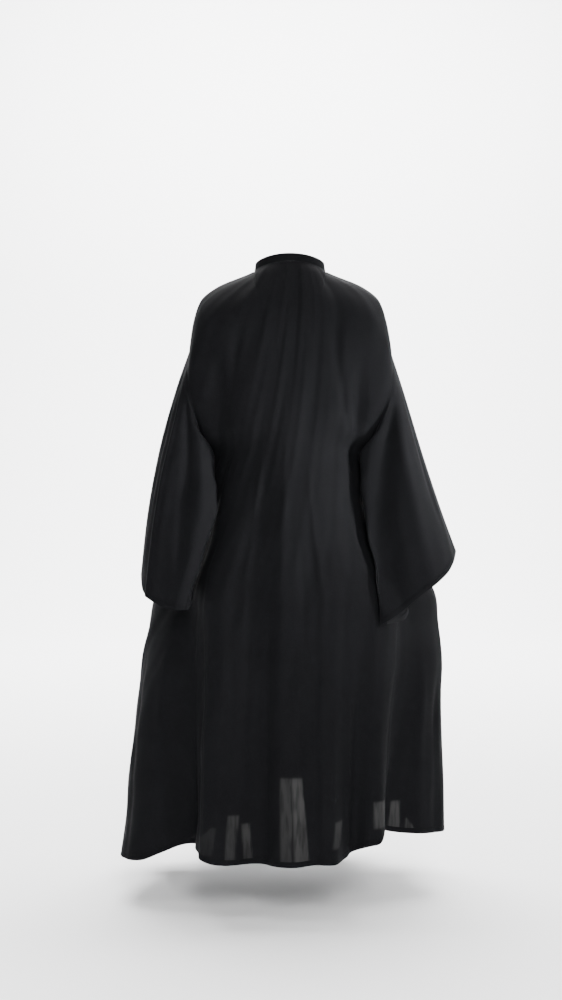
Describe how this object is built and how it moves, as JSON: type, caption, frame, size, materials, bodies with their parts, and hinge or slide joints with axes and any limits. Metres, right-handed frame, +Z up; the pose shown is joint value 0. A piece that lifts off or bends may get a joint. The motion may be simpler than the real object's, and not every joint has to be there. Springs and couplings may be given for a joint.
{
  "type": "abaya cloak",
  "caption": "Floor-length black crepe abaya cloak as worn, hollow, with an A-line body lapped at the front, dropped armholes, wide bell sleeves and a narrow neckband.",
  "frame": {"origin": "on the shoulder line, midway between the two neck points, where the wearer's shoulders carry the cloak", "axes": "+Z up; the wearer faces -Y, so the back panel faces +Y; +X is the wearer's left"},
  "size_m": [0.7715, 0.686, 1.3824],
  "materials": {
    "black_crepe": "matte crepe",
    "black_band": "matte crepe, doubled"
  },
  "bodies": {
    "root": {"back": "black_crepe", "front_left": "black_crepe", "front_right": "black_crepe", "sleeve_left_back": "black_crepe", "sleeve_left_front": "black_crepe", "sleeve_right_back": "black_crepe", "sleeve_right_front": "black_crepe", "neckband": "black_band"}
  },
  "joints": []
}
